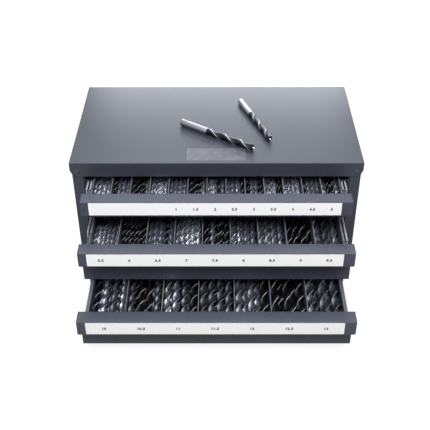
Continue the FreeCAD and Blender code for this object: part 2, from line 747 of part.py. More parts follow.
# ---------------------------------------------------------------- the assembly
make_lid()
for side_name in SIDES:
    make_side(side_name)
    make_carrier(side_name)
make_back()
make_floor()
make_feet()
make_blind_rivets()
make_cabinet_rails()
make_cabinet_rail_rivets()
for level_name in DRAWERS:
    for side_name in SIDES:
        make_mid_rail(level_name, side_name)
    make_tray(level_name)
    make_front(level_name)
    make_label(level_name)
    make_dividers(level_name)
    make_drawer_rails(level_name)
make_bits("top", [5.0])
make_bits("middle", [5.5 + 0.5 * step for step in range(9)])
make_bits("bottom", [10.0 + 0.5 * step for step in range(7)])
for bit_name, lying in LOOSE_BITS.items():
    make_loose_bit(bit_name, lying)
doc.recompute()

# ---------------------------------------------------------------- checks and files
for item in doc.Objects:
    if "Invalid" in item.State or "Error" in item.State:
        raise RuntimeError(f"{item.Label} failed to recompute: {item.State}")
for item in nodes:
    if item.Shape.isNull() or not item.Shape.isValid() or not item.Shape.Solids:
        raise RuntimeError(f"{item.Label} has no valid shape")

os.makedirs("parts", exist_ok=True)
for item in nodes:
    item.Shape.exportStep(f"parts/{item.Label}.step")
print(len(nodes), "pieces,", sum(len(item.Shape.Solids) for item in nodes), "solids")
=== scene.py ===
"""Looks of the drill bit drawer case: painted folds, fluted bits, numbered labels, light, camera.

Metres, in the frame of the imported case: +X across the front, -Y towards the user, +Z up.
"""
import json
import math
import random

import bmesh
import bpy
import numpy as np
from mathutils import Matrix, Vector

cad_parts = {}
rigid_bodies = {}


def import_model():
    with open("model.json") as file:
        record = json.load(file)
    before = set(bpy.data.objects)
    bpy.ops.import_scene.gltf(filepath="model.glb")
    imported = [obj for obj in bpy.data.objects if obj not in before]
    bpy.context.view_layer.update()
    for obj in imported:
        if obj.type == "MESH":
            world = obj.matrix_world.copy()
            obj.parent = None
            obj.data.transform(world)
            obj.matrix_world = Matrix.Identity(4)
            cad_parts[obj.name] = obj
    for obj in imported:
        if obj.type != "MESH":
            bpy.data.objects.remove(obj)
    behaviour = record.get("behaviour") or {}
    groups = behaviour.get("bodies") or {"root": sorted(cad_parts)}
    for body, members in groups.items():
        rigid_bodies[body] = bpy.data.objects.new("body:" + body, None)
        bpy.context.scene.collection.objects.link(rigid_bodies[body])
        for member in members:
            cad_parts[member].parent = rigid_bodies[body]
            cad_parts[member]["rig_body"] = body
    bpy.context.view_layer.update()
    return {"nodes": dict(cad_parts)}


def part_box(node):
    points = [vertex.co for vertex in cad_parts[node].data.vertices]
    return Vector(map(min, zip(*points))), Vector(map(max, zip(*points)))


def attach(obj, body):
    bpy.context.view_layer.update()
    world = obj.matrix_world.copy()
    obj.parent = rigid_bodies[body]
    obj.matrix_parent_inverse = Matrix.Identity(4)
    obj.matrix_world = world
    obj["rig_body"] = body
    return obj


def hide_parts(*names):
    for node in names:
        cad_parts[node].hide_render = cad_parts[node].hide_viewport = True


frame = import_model()
LEVELS = ("top", "middle", "bottom")
SIDES = ("left", "right")
MM = 0.001


# ---------------------------------------------------------------- material blocks
# Sockets of a Mix node that blends colours, by number: their names stand for several each
MIX_FACTOR = 0
MIX_FIRST = 6
MIX_SECOND = 7
MIX_RESULT = 2
# Most of a noise lies between these
NOISE_LOW = 0.3
NOISE_HIGH = 0.7


def new_material(name):
    """A material, its node tree and its main shader."""
    material = bpy.data.materials.new(name)
    material.use_nodes = True
    tree = material.node_tree
    return material, tree, tree.nodes["Principled BSDF"]


def add(tree, kind, settings=None, **values):
    """One shader node, with its settings and the values of its unlinked inputs."""
    item = tree.nodes.new("ShaderNode" + kind)
    for name, value in (settings or {}).items():
        setattr(item, name, value)
    for name, value in values.items():
        item.inputs[name.replace("_", " ")].default_value = value
    return item


def object_noise(tree, cells, detail=2.0, stretch=(1, 1, 1)):
    """Noise over the piece's own coordinates, in cells per metre."""
    place = add(tree, "TexCoord")
    mapping = add(tree, "Mapping", Scale=stretch)
    noise = add(tree, "TexNoise", Scale=cells, Detail=detail)
    tree.links.new(place.outputs["Object"], mapping.inputs["Vector"])
    tree.links.new(mapping.outputs["Vector"], noise.inputs["Vector"])
    return noise.outputs["Fac"]


def spread(tree, noise, low, high):
    """A noise around one half, spread to run from low to high."""
    item = add(tree, "MapRange", From_Min=NOISE_LOW, From_Max=NOISE_HIGH, To_Min=low, To_Max=high)
    tree.links.new(noise, item.inputs["Value"])
    return item.outputs["Result"]


def blend_colour(tree, factor, first, second):
    """A colour between two, each of them a plain colour or the output of a node."""
    item = add(tree, "Mix", {"data_type": "RGBA"})
    for socket, colour in ((MIX_FIRST, first), (MIX_SECOND, second)):
        if isinstance(colour, tuple):
            item.inputs[socket].default_value = (*colour, 1)
        else:
            tree.links.new(colour, item.inputs[socket])
    tree.links.new(factor, item.inputs[MIX_FACTOR])
    return item.outputs[MIX_RESULT]


def bump(tree, shader, height, strength, depth):
    """Fine relief of the shader's surface, its depth in metres."""
    item = add(tree, "Bump", Strength=strength, Distance=depth)
    tree.links.new(height, item.inputs["Height"])
    tree.links.new(item.outputs["Normal"], shader.inputs["Normal"])


def shaded(colour, factor):
    """A colour made darker or lighter."""
    return tuple(channel * factor for channel in colour)


# Specular level of the coats, and how far their roughness varies
COAT_SHEEN = 0.27
COAT_UNEVEN = 0.01
# Broad mottling, its share in the tint, and the orange peel
MOTTLE_CELLS = 14
MOTTLE_SHARE = 0.4
PEEL_CELLS = 520
PEEL_DEPTH = 0.3 * MM


def powder_coat(name, colour, roughness, peel=0.1, mottle=0.03, sheen=COAT_SHEEN):
    """Semi-gloss powder coat with fine orange peel and a faint unevenness."""
    material, tree, shader = new_material(name)
    shader.inputs["Specular IOR Level"].default_value = sheen
    broad = object_noise(tree, MOTTLE_CELLS, detail=3)
    grain = object_noise(tree, PEEL_CELLS)
    fine = add(tree, "Math", {"operation": "MULTIPLY"})
    fine.inputs[1].default_value = 1 - MOTTLE_SHARE
    tree.links.new(grain, fine.inputs[0])
    both = add(tree, "Math", {"operation": "MULTIPLY_ADD"})
    both.inputs[1].default_value = MOTTLE_SHARE
    tree.links.new(broad, both.inputs[0])
    tree.links.new(fine.outputs[0], both.inputs[2])
    tint = blend_colour(tree, spread(tree, both.outputs[0], 0, 1), shaded(colour, 1 - mottle),
                        shaded(colour, 1 + mottle))
    tree.links.new(tint, shader.inputs["Base Color"])
    tree.links.new(spread(tree, broad, roughness - COAT_UNEVEN, roughness + COAT_UNEVEN),
                   shader.inputs["Roughness"])
    bump(tree, shader, grain, peel, PEEL_DEPTH)
    return material


# Stretch of the noise that draws streaks along the slides
ALONG_RAIL = (1, 0.05, 1)
# How far the roughness of metal varies from place to place, as factors, and its relief
METAL_SMOOTHER = 0.8
METAL_ROUGHER = 1.25
METAL_BUMP = 0.08
METAL_DEPTH = 0.1 * MM


def worked_metal(name, colour, roughness, streaks=(1, 1, 1), metallic=1.0, contrast=0.12,
                 cells=300):
    """Plated, ground or blackened steel, streaked along the axis that its noise is stretched on."""
    material, tree, shader = new_material(name)
    shader.inputs["Metallic"].default_value = metallic
    lines = object_noise(tree, cells, detail=3, stretch=streaks)
    tint = blend_colour(tree, spread(tree, lines, 0, 1), shaded(colour, 1 - contrast),
                        shaded(colour, 1 + contrast))
    tree.links.new(tint, shader.inputs["Base Color"])
    tree.links.new(spread(tree, lines, roughness * METAL_SMOOTHER, roughness * METAL_ROUGHER),
                   shader.inputs["Roughness"])
    bump(tree, shader, lines, METAL_BUMP, METAL_DEPTH)
    return material


def plain_stuff(name, cells, detail, tones, roughness, faint=False, relief=None):
    """Rubber, card or ink: two tones, less apart where faint, and relief as strength and depth."""
    material, tree, shader = new_material(name)
    grain = object_noise(tree, cells, detail=detail)
    tint = blend_colour(tree, grain if faint else spread(tree, grain, 0, 1), *tones)
    tree.links.new(tint, shader.inputs["Base Color"])
    shader.inputs["Roughness"].default_value = roughness
    if relief:
        bump(tree, shader, grain, *relief)
    return material


FILM_CELLS = 120
FILM_TONES = ((0.058, 0.058, 0.075), (0.090, 0.089, 0.114))
FILM_ROUGHNESS = (0.30, 0.36)
FILM_RELIEF = (0.15, 0.2 * MM)


def film(name):
    """Pale mottled film of the blank sticker on the lid."""
    material, tree, shader = new_material(name)
    shader.inputs["Specular IOR Level"].default_value = COAT_SHEEN
    blotches = object_noise(tree, FILM_CELLS, detail=4)
    tint = blend_colour(tree, spread(tree, blotches, 0, 1), *FILM_TONES)
    tree.links.new(tint, shader.inputs["Base Color"])
    tree.links.new(spread(tree, blotches, *FILM_ROUGHNESS), shader.inputs["Roughness"])
    bump(tree, shader, blotches, *FILM_RELIEF)
    return material


# Painted highlight of the upward edges: cells of the noise in its tone and in the roughness, its
# darkest and lightest tone as factors, and how far the roughness varies
TOP_HIGHLIGHT_CELLS = 260
TOP_HIGHLIGHT_DARKER = 0.8
TOP_HIGHLIGHT_BRIGHTER = 1.15
SHEET_ROUGH_UNEVEN = 0.05
# How far a surface faces up where its painted highlight begins and where it is full
TOP_HIGHLIGHT_BEGINS = 0.6
TOP_HIGHLIGHT_FULL = 0.9


def sheet_with_painted_highlight(name, side, edge, roughness):
    """Dark coated sheet whose upward edges are painted lighter, a painted highlight where the light
    falls on them.
    """
    material, tree, shader = new_material(name)
    highlight_noise = object_noise(tree, TOP_HIGHLIGHT_CELLS, detail=3)
    painted_top_highlight = blend_colour(tree, spread(tree, highlight_noise, 0, 1), shaded(edge, TOP_HIGHLIGHT_DARKER),
                        shaded(edge, TOP_HIGHLIGHT_BRIGHTER))
    geometry = add(tree, "NewGeometry")
    parts = add(tree, "SeparateXYZ")
    upward = add(tree, "MapRange", From_Min=TOP_HIGHLIGHT_BEGINS, From_Max=TOP_HIGHLIGHT_FULL, To_Min=0.0, To_Max=1.0)
    tree.links.new(geometry.outputs["Normal"], parts.inputs[0])
    tree.links.new(parts.outputs["Z"], upward.inputs["Value"])
    # Upward faces take the painted highlight's colour
    tint = blend_colour(tree, upward.outputs["Result"], side, painted_top_highlight)
    tree.links.new(tint, shader.inputs["Base Color"])
    tree.links.new(spread(tree, highlight_noise, roughness - SHEET_ROUGH_UNEVEN, roughness + SHEET_ROUGH_UNEVEN),
                   shader.inputs["Roughness"])
    return material


# The case's coat is the fronts' anthracite made darker, a painted shade for the lower light that
# falls on the case
SHADED_CASE_COAT = (0.032, 0.036, 0.051)
FRONT_COAT = (0.051, 0.057, 0.080)
MATERIALS = {
    "case_paint": powder_coat("case_powder_coat", SHADED_CASE_COAT, 0.30, peel=0.025),
    "front_paint": powder_coat("front_powder_coat", FRONT_COAT, 0.38, peel=0.4, mottle=0.25,
                               sheen=0.24),
    # Trays and dividers: the sheet's colour, then the painted highlight of their upward edges
    "tray_paint": sheet_with_painted_highlight("tray_powder_coat", (0.055, 0.060, 0.080), (0.11, 0.12, 0.155), 0.4),
    "divider_sheet": sheet_with_painted_highlight("divider_coat", (0.075, 0.080, 0.100), (0.19, 0.20, 0.235), 0.4),
    "label_card": plain_stuff("label_film", 700, 3, ((0.88, 0.88, 0.88), (0.92, 0.92, 0.92)), 0.5,
                              relief=(0.05, 0.1 * MM)),
    "ink": plain_stuff("label_ink", 1500, 2, ((0.012, 0.012, 0.014), (0.03, 0.03, 0.034)), 0.6,
                       faint=True),
    "film": film("blank_sticker_film"),
    "zinc_rail": worked_metal("bright_zinc", (0.48, 0.50, 0.55), 0.34, ALONG_RAIL, metallic=0.35),
    "drawer_rail": worked_metal("drawer_rail_zinc", (0.13, 0.14, 0.17), 0.42, ALONG_RAIL,
                                metallic=0.5),
    "dark_rail": worked_metal("dark_zinc", (0.050, 0.052, 0.060), 0.45, ALONG_RAIL),
    # Near-black races in the rolled rails' grooves, a painted shade
    "race": worked_metal("race_painted_shade", (0.030, 0.031, 0.035), 0.5, ALONG_RAIL),
    "bearing_steel": worked_metal("ball_steel", (0.62, 0.62, 0.64), 0.2),
    "rivet_metal": worked_metal("rivet_steel", (0.5, 0.5, 0.52), 0.35, cells=900),
    "painted_rivet": powder_coat("painted_rivet", shaded(SHADED_CASE_COAT, 1.5), 0.3),
    "mandrel": worked_metal("rivet_mandrel", (0.05, 0.05, 0.055), 0.45, cells=900),
    "foot_rubber": plain_stuff("foot_rubber", 900, 3, ((0.012, 0.012, 0.013), (0.03, 0.03, 0.032)),
                               0.75, faint=True, relief=(0.3, 0.3 * MM)),
}
# Painted shading of the bits: the bright, mid and grey looks are lit copies and the dark look a
# shaded copy of one steel, the lighter flutes of the first three being painted highlights; the pale
# margins are partly ground steel and partly painted glint. Colour, roughness and metallic share of
# shank, land, flute and margin
BIT_PAINTED_SHADINGS = {
    "dark": (((0.40, 0.41, 0.44), 0.3, 1), ((0.046, 0.049, 0.060), 0.34, 0.9),
             ((0.015, 0.016, 0.020), 0.40, 0.9), ((0.84, 0.89, 1.0), 0.32, 0.5)),
    "mid": (((0.45, 0.46, 0.50), 0.3, 1), ((0.13, 0.138, 0.17), 0.36, 0.85),
            ((0.30, 0.32, 0.39), 0.35, 0.9), ((0.42, 0.44, 0.52), 0.38, 0.7)),
    "grey": (((0.45, 0.46, 0.50), 0.3, 1), ((0.050, 0.055, 0.067), 0.36, 0.85),
             ((0.105, 0.118, 0.140), 0.42, 0.9), ((0.42, 0.44, 0.52), 0.38, 0.7)),
    "bright": (((0.60, 0.61, 0.65), 0.25, 1), ((0.14, 0.145, 0.175), 0.36, 0.85),
               ((0.84, 0.88, 1.0), 0.30, 1), ((0.90, 0.91, 0.95), 0.34, 0.7)),
    "loose": (((0.29, 0.298, 0.325), 0.44, 1), ((0.042, 0.045, 0.055), 0.34, 1),
              ((0.023, 0.025, 0.031), 0.40, 1), ((0.90, 0.91, 0.94), 0.30, 0.6)),
}
# The parts of a bit, and how far each one's tone varies
BIT_CONTRAST = {"shank": 0.05, "land": 0.2, "flute": 0.2, "margin": 0.1}
BIT_CELLS = 450
for finish, looks in BIT_PAINTED_SHADINGS.items():
    for (part, contrast), (colour, roughness, metallic) in zip(BIT_CONTRAST.items(), looks):
        MATERIALS[f"{finish}_{part}"] = worked_metal(
            f"bit_{finish}_{part}", colour, roughness, metallic=metallic, contrast=contrast,
            cells=BIT_CELLS)


# ---------------------------------------------------------------- mesh blocks
def new_piece(name, mesh, body, materials, replaced=()):
    """Link a mesh as a piece of the case, riding on a body and standing for CAD nodes."""
    piece = bpy.data.objects.new(name, mesh)
    bpy.context.scene.collection.objects.link(piece)
    for material in materials:
        mesh.materials.append(MATERIALS[material])
    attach(piece, body)
    if replaced:
        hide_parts(*replaced)
    return piece


def stand_in(node, suffix, mesh, materials):
    """Link a mesh in place of a CAD node, on the node's own body."""
    body = frame["nodes"][node]["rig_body"]
    return new_piece(f"{node}_{suffix}", mesh, body, materials, [node])


def apply_modifiers(piece):
    """Freeze a piece's modifiers into its mesh."""
    graph = bpy.context.evaluated_depsgraph_get()
    graph.update()
    mesh = bpy.data.meshes.new_from_object(piece.evaluated_get(graph), depsgraph=graph)
    piece.modifiers.clear()
    piece.data = mesh


NORMAL_WEIGHT = 80


def smooth(piece, degrees=38, weighted=True):
    """Shade a piece smooth but for its edges over an angle; weighted keeps its flats flat."""
    piece.data.shade_smooth()
    piece.data.set_sharp_from_angle(angle=math.radians(degrees))
    if weighted:
        modifier = piece.modifiers.new("normals", "WEIGHTED_NORMAL")
        modifier.keep_sharp = True
        modifier.weight = NORMAL_WEIGHT
        apply_modifiers(piece)


def face_outwards(piece):
    """Turn a closed piece's faces to the outside."""
    work = bmesh.new()
    work.from_mesh(piece.data)
    bmesh.ops.recalc_face_normals(work, faces=work.faces)
    work.to_mesh(piece.data)
    work.free()


WELD = 0.002 * MM


def welded(node):
    """A CAD node's mesh to work on, with its doubled corners merged."""
    work = bmesh.new()
    work.from_mesh(frame["nodes"][node].data)
    bmesh.ops.remove_doubles(work, verts=work.verts, dist=WELD)
    return work


def islands(node):
    """The lowest and highest corner of each separate solid of a CAD node."""
    work = welded(node)
    seen = set()
    boxes = []
    for first in work.verts:
        if first.index in seen:
            continue
        seen.add(first.index)
        stack = [first]
        members = []
        while stack:
            vertex = stack.pop()
            members.append(vertex.co.copy())
            for edge in vertex.link_edges:
                other = edge.other_vert(vertex)
                if other.index not in seen:
                    seen.add(other.index)
                    stack.append(other)
        corners = np.array(members)
        boxes.append((Vector(corners.min(0)), Vector(corners.max(0))))
    work.free()
    return boxes


def width_across(face, edge):
    """How far a face reaches from one of its edges, in the face's own plane."""
    start = edge.verts[0].co
    along = (edge.verts[1].co - start).normalized()
    across = face.normal.cross(along)
    return max(abs((vertex.co - start).dot(across)) for vertex in face.verts)


FOLD_RADII = {"outer": 1.3 * MM, "inner": 0.5 * MM, "cut": 0.18 * MM}
LID_FOLD = 1.0 * MM
FRONT_FOLD = 1.6 * MM
RAIL_FOLD = 0.5 * MM
FOLD_SEGMENTS = 3
# Faces narrower than this are the cut edges of a sheet
SHEET_LIMIT = 1.6 * MM
FLAT_ANGLE = math.radians(1)
FOLD_ANGLE = math.radians(30)


def edge_kind(edge):
    """Whether an edge is a fold, seen from its outer or inner side, or the rim of a cut edge."""
    if min(width_across(face, edge) for face in edge.link_faces) <= SHEET_LIMIT:
        return "cut"
    return "outer" if edge.is_convex else "inner"


def softened(node, material, outer=FOLD_RADII["outer"]):
    """Stand a folded sheet in for a CAD node: round folds, eased cut edges."""
    radii = {**FOLD_RADII, "outer": outer}
    mesh = bpy.data.meshes.new(node + "_folded")
    work = welded(node)
    bmesh.ops.dissolve_limit(work, angle_limit=FLAT_ANGLE, verts=work.verts, edges=work.edges)
    weights = work.edges.layers.float.new("bevel_weight_edge")
    for edge in work.edges:
        if len(edge.link_faces) == 2 and abs(edge.calc_face_angle_signed(0)) >= FOLD_ANGLE:
            edge[weights] = radii[edge_kind(edge)] / outer
    work.to_mesh(mesh)
    work.free()
    piece = stand_in(node, "folded", mesh, [material])
    bevel = piece.modifiers.new("folds", "BEVEL")
    bevel.limit_method = "WEIGHT"
    bevel.width = outer
    bevel.segments = FOLD_SEGMENTS
    bevel.use_clamp_overlap = False
    apply_modifiers(piece)
    low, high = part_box(node)
    for vertex in piece.data.vertices:
        vertex.co = [min(max(value, least), most)
                     for value, least, most in zip(vertex.co, low, high)]
    smooth(piece)


def turned(distance, angle, height):
    """The point at a distance from Z, at an angle about it and at a height."""
    return Vector((distance * math.cos(angle), distance * math.sin(angle), height))


def lathe(profile, steps, materials=None):
    """Points and faces turned about Z from (radius, height) points; a radius of 0 closes it."""
    points = []
    rings = []
    for radius, height in profile:
        if radius == 0:
            rings.append([len(points)])
            points.append(Vector((0, 0, height)))
            continue
        rings.append(list(range(len(points), len(points) + steps)))
        points += [turned(radius, 2 * math.pi * step / steps, height) for step in range(steps)]
    faces = []
    slots = []
    for index, (low, high) in enumerate(zip(rings, rings[1:])):
        for step in range(steps):
            after = (step + 1) % steps
            corners = [low[step % len(low)], low[after % len(low)], high[after % len(high)],
                       high[step % len(high)]]
            faces.append([corner for place, corner in enumerate(corners)
                          if corner not in corners[:place]])
            slots.append(materials[index] if materials else 0)
    return points, faces, slots


def prism_faces(size):
    """Faces of a prism whose points are one end's outline and then the other's."""
    ends = [list(range(size)), list(range(size, 2 * size))]
    return ends + [[index, (index + 1) % size, size + (index + 1) % size, size + index]
                   for index in range(size)]


def joined_mesh(name, parts):
    """One mesh of many (points, faces, slots) parts, each moved by its matrix."""
    points = []
    faces = []
    slots = []
    for matrix, (part_points, part_faces, part_slots) in parts:
        start = len(points)
        points += [matrix @ point for point in part_points]
        faces += [[corner + start for corner in face] for face in part_faces]
        slots += part_slots
    mesh = bpy.data.meshes.new(name)
    mesh.from_pydata(points, [], faces)
    mesh.polygons.foreach_set("material_index", slots)
    mesh.update()
    return mesh


# ---------------------------------------------------------------- drill bits
# Half of a twist drill's section, anticlockwise: the angle, the distance from the axis as a share
# of the radius, and the part that the surface belongs to from there on
SECTION = [(0, 1.0, "margin"), (8, 1.0, "land"), (10, 0.965, "land"), (28, 0.965, "land"),
           (48, 0.955, "flute"), (58, 0.84, "flute"), (72, 0.64, "flute"), (92, 0.50, "flute"),
           (114, 0.44, "flute"), (138, 0.48, "flute"), (157, 0.64, "flute"), (171, 0.86, "flute")]
SHANK_RINGS = 2
# Fluted length of a bit as a share of its length
FLUTED_SHARE = 0.64
# Shares of the diameter: the chamfer of the butt, and the length in which a flute runs out
CHAMFER = 0.06
RUN_OUT = 1.0
# The spurs stand on the points of the section before this angle. Shares of the radius: their
# height, and the radius and the base of the centre point
SPUR_ANGLE = 10
SPUR = 0.22
POINT_RADIUS = 0.2
POINT_BASE = 0.12


def fluted_bit(diameter, overall, lead, rings_per_turn, slots, cut=1.0):
    """A brad point bit on end, its butt at the origin: chamfered shank, two right-hand flutes."""
    radius = diameter / 2
    chamfer = CHAMFER * diameter
    flute_start = overall - overall * FLUTED_SHARE
    flute_end = overall - radius
    turn_length = lead * diameter
    count = max(4, round(rings_per_turn * (flute_end - flute_start) / turn_length))
    levels = [(0, radius - chamfer), (chamfer, radius), (flute_start, radius)]
    levels += [(flute_start + (flute_end - flute_start) * (step + 1) / count, radius)
               for step in range(count)]
    section = [(angle + half, share) for half in (0, 180) for angle, share, _ in SECTION]
    size = len(section)
    spur_level = levels[-1][0]
    points = []
    for height, reach in levels:
        turn = 2 * math.pi * max(0, height - flute_start) / turn_length
        depth = min(1, max(0, (height - flute_start) / (RUN_OUT * diameter)))
        depth = depth * depth * (3 - 2 * depth)
        for angle, share in section:
            spurred = height == spur_level and angle % 180 < SPUR_ANGLE
            points.append(turned(reach * (1 - cut * depth * (1 - share)),
                                 math.radians(angle) + turn,
                                 height + (SPUR * radius if spurred else 0)))
    turn = 2 * math.pi * (flute_end - flute_start) / turn_length
    points += [turned(POINT_RADIUS * radius, math.radians(angle) + turn,
                      flute_end + POINT_BASE * radius) for angle, _ in section]
    points.append(Vector((0, 0, overall)))
    faces = [list(range(size))[::-1]]
    parts = [slots["shank"]]
    for ring in range(len(levels)):
        start = ring * size
        for index in range(size):
            after = (index + 1) % size
            faces.append([start + index, start + after, start + size + after, start + size + index])
            part = SECTION[index % len(SECTION)][2]
            if ring < SHANK_RINGS:
                part = "shank"
            elif ring == len(levels) - 1:
                part = "land"
            parts.append(slots[part])
    last = len(levels) * size
    for index in range(size):
        faces.append([last + index, last + (index + 1) % size, last + size])
        parts.append(slots["margin"])
    return points, faces, parts


# The lead of the flutes in diameters
LEADS = {"bright": 4.0, "mid": 3.9, "grey": 3.9, "dark": 4.8, "loose": 5.3}
# How much longer the leads are in each drawer, and how far they vary from bit to bit
LEAD_SHARES = {"top": 1.4, "middle": 1.15, "bottom": 1.02}
LEAD_SPREAD = 0.15
PAINTED_SHADING_LETTERS = {"b": "bright", "m": "mid", "g": "grey", "d": "dark"}
# The painted shading of the bits across each compartment, from the left: lit and shaded copies of
# the same bits
DRAWER_PAINTED_SHADINGS = {
    "top": ("bbb", "dmm", "ddd", "bbb", "mmm", "ddb", "bbm", "mmm", "dmd", "bbd", "bbb", "mmm",
            "bdb"),
    "middle": ("bbmm", "dddd", "mmmm", "bbbb", "dddd", "mmmm", "bbmm", "dddd", "mgmm"),
    "bottom": ("gbggg", "gdddg", "bmdgd", "ggdgg", "mmmgd", "ddddd", "ggggg"),
}
# The share of bits that break that order, and their painted shadings
ODD_BIT_SHARE = 0.1
ODD_PAINTED_SHADINGS = ("bright", "mid", "dark")
STORED_RINGS = 16
LOOSE_RINGS = 40
# How deep the flutes of the bits on the lid are, as a share of those of the stored bits
LOOSE_CUT = 0.5
# Corners of a plain bit within this of its end belong to that end
END_BAND = 0.01 * MM
BIT_SHARP_ANGLE = 50


def bit_slots(painted_shadings):
    """Material names for some painted shadings, and the index of each part of each one among them.
    """
    names = [f"{finish}_{part}" for finish in painted_shadings for part in BIT_CONTRAST]
    table = {finish: {part: names.index(f"{finish}_{part}") for part in BIT_CONTRAST}
             for finish in painted_shadings}
    return names, table


def stored_bits(node, level, draw):
    """Fluted bits in place of a node's plain ones, points towards the front."""
    tray_low, tray_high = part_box("tray_" + level)
    compartments = DRAWER_PAINTED_SHADINGS[level]
    pitch = (tray_high.x - tray_low.x) / len(compartments)
    names, table = bit_slots(PAINTED_SHADING_LETTERS.values())
    parts = []
    for low, high in islands(node):
        centre = (low + high) / 2
        across, compartment = math.modf((centre.x - tray_low.x) / pitch)
        letters = compartments[int(compartment)]
        finish = PAINTED_SHADING_LETTERS[letters[int(across * len(letters))]]
        if draw.random() < ODD_BIT_SHARE:
            finish = draw.choice(ODD_PAINTED_SHADINGS)
        lead = LEADS[finish] * LEAD_SHARES[level] * draw.uniform(1 - LEAD_SPREAD, 1 + LEAD_SPREAD)
        shape = fluted_bit(high.z - low.z, high.y - low.y, lead, STORED_RINGS, table[finish])
        place = (Matrix.Translation((centre.x, high.y, centre.z))
                 @ Matrix.Rotation(math.radians(90), 4, "X")
                 @ Matrix.Rotation(draw.uniform(0, 2 * math.pi), 4, "Z"))
        parts.append((place, shape))
    piece = stand_in(node, "fluted", joined_mesh(node + "_fluted", parts), names)
    smooth(piece, BIT_SHARP_ANGLE, weighted=False)


def loose_bit(node, roll):
    """A fluted bit in place of a plain one on the lid, along the plain one's own axis."""
    corners = np.array([vertex.co for vertex in frame["nodes"][node].data.vertices])
    middle = corners.mean(0)
    axis = np.linalg.svd(corners - middle)[2][0]
    along = (corners - middle) @ axis
    ends = [corners[along < along.min() + END_BAND], corners[along > along.max() - END_BAND]]
    if np.ptp(ends[0], axis=0).max() < np.ptp(ends[1], axis=0).max():
        ends.reverse()
    butt, tip = [Vector(end.mean(0)) for end in ends]
    low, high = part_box(node)
    butt.z = tip.z = (low.z + high.z) / 2
    names, table = bit_slots(["loose"])
    shape = fluted_bit(high.z - low.z, (tip - butt).length, LEADS["loose"], LOOSE_RINGS,
                       table["loose"], LOOSE_CUT)
    place = (Matrix.Translation(butt) @ (tip - butt).to_track_quat("Z", "Y").to_matrix().to_4x4()
             @ Matrix.Rotation(math.radians(roll), 4, "Z"))
    piece = stand_in(node, "fluted", joined_mesh(node + "_fluted", [(place, shape)]), names)
    smooth(piece, BIT_SHARP_ANGLE, weighted=False)


# ---------------------------------------------------------------- rivets
RIVET_HEAD = 1.1 * MM
RIVET_STEPS = 24
RIVET_SHARP_ANGLE = 35
# Radii of the mandrel's bore and of the tail, as shares of the head's
BORE_SHARE = 0.3
TAIL_SHARE = 0.72
# The sunk mandrel and the wall around it: shares of the bore's radius and of the head's height
MANDREL_PROFILE = [(0, 0.35), (0.8, 0.4), (1, 0.45), (1, 0.9)]
# The rings of the dome, and the height of its rim as a share of the head's
DOME_ANGLES = (15, 35, 55, 75, 90)
DOME_RIM = 0.3
# The shank and the tail: shares of the tail's radius and of its length
TAIL_PROFILE = [(0.8, 0), (0.8, 0.45), (1, 0.5), (1, 0.9), (0.6, 1), (0, 1)]
# Rivets lower than this hold the floor
FLOOR_ZONE = 10 * MM


def blind_rivet(radius, length):
    """A blind rivet: a domed head with its sunk mandrel, the shank, and the tail behind."""
    bore = radius * BORE_SHARE
    tail = length - RIVET_HEAD
    tail_radius = radius * TAIL_SHARE
    profile = [(bore * across, RIVET_HEAD * up) for across, up in MANDREL_PROFILE]
    for angle in DOME_ANGLES:
        theta = math.radians(angle)
        profile.append((bore + (radius - bore) * math.sin(theta),
                        RIVET_HEAD * (DOME_RIM + (1 - DOME_RIM) * math.cos(theta))))
    profile.append((radius, 0))
    profile += [(tail_radius * across, -tail * back) for across, back in TAIL_PROFILE]
    mandrel = len(MANDREL_PROFILE) - 1
    return lathe(profile, RIVET_STEPS, [1] * mandrel + [0] * (len(profile) - 1 - mandrel))


def rivet_set(node, material, pointing):
    """Domed rivets in place of a node's plain ones, each with its head at one end of its box."""
    parts = []
    for low, high in islands(node):
        axis, outward = pointing(low, high)
        size = high - low
        spot = (low + high) / 2
        spot[axis] = high[axis] - RIVET_HEAD if outward > 0 else low[axis] + RIVET_HEAD
        normal = Vector((0, 0, 0))
        normal[axis] = outward
        place = Matrix.Translation(spot) @ normal.to_track_quat("Z", "Y").to_matrix().to_4x4()
        parts.append((place, blind_rivet(sorted(size)[1] / 2, size[axis])))
    piece = stand_in(node, "domed", joined_mesh(node + "_domed", parts), [material, "mandrel"])
    smooth(piece, RIVET_SHARP_ANGLE)


def case_pointing(low, high):
    """Rivets of the case have their heads outside: below, in front or behind."""
    if low.z < FLOOR_ZONE:
        return 2, -1
    return 1, (-1 if low.y < 0 else 1)


def outward_pointing(low, high):
    """Rivets of the drawer rails have their heads on the slide's side of the tray."""
    return 0, (1 if low.x + high.x > 0 else -1)


def inward_pointing(low, high):
    """Rivets of the cabinet rails have their heads on the slide's side of the carrier."""
    return 0, (-1 if low.x + high.x > 0 else 1)


# ---------------------------------------------------------------- intermediate rails, feet
# Outer side of an intermediate rail's flange: how far it is across from the lip and below the
# crest, in millimetres; the groove is the race that the balls run in
FLANGE = [(0, 1.0), (0, 0.25), (0.25, 0), (1.9, 0), (2.35, 0.55), (4.7, 0.55), (5.15, 0), (6.6, 0),
          (7.05, 0.15), (7.2, 0.6)]
RACE_SEGMENT = 4
RAIL_WEB = 1.0
RAIL_SHARP_ANGLE = 50


